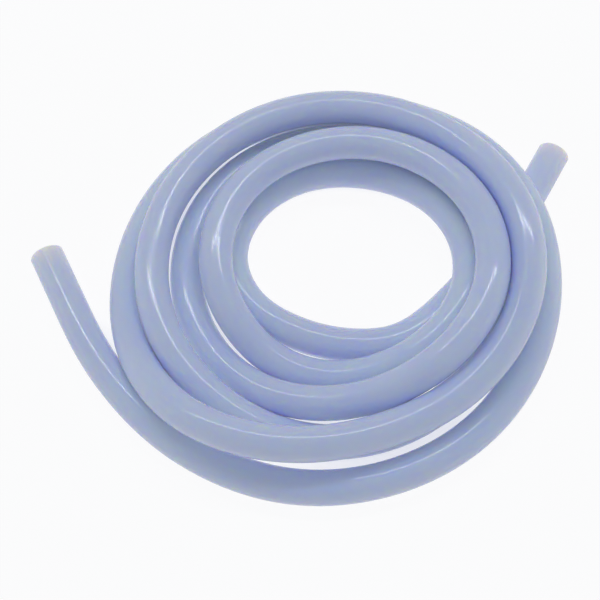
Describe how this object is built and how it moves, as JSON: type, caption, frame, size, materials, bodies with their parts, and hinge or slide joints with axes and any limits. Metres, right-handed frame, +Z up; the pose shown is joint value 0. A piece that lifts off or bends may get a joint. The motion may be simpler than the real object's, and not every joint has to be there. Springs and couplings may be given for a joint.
{
  "type": "silicone tubing coil",
  "caption": "Loose flat coil of soft milky silicone tubing lying at rest, round bore right through, both square-cut ends open and free.",
  "frame": {"origin": "on the surface the coil rests on, below the middle of its bounding box", "axes": "+Z up out of the flat coil, +X along its longest extent towards the inner cut end, +Y towards the side where the inner end runs out"},
  "size_m": [0.1996, 0.1602, 0.0364],
  "materials": {
    "silicone": "satin, milky and translucent"
  },
  "bodies": {
    "root": {"silicone_tube": "silicone"}
  },
  "joints": []
}
